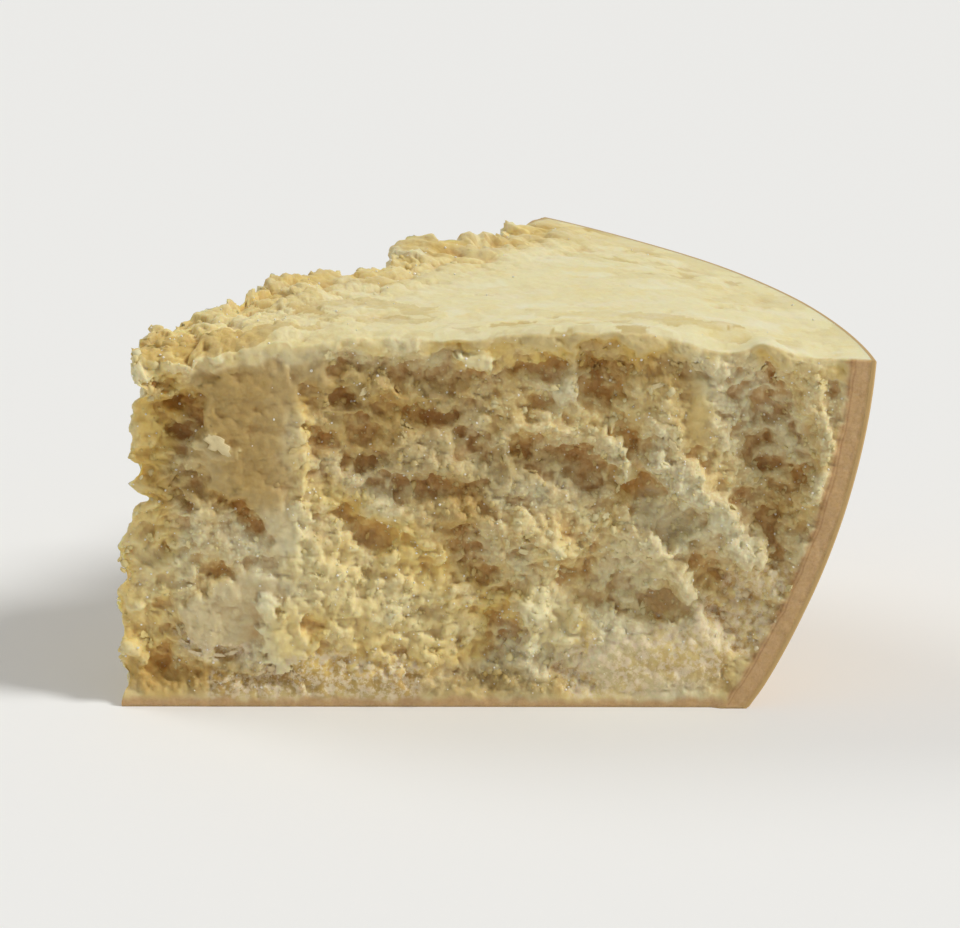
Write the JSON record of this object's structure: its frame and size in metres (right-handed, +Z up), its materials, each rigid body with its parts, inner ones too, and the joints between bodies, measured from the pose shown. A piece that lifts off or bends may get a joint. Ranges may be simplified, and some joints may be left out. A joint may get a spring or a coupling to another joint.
{
  "type": "parmesan chunk",
  "caption": "Rough wedge of aged hard cheese, split from the lower half of a drum-shaped wheel: crumbled broken sides, a flaky split top, a flat base and one barrel-curved rind.",
  "frame": {"origin": "centre of the chunk's bounding box in plan, on the flat wheel face that it stands on", "axes": "+X from the broken tip towards the rind, +Y away from the front broken face, +Z up"},
  "size_m": [0.2282, 0.1778, 0.1195],
  "materials": {
    "cheese": "dry crumbly pale-yellow paste with a waxy sheen on split faces and an amber pressed rind"
  },
  "bodies": {
    "root": {"cheese_chunk": "cheese"}
  },
  "joints": []
}
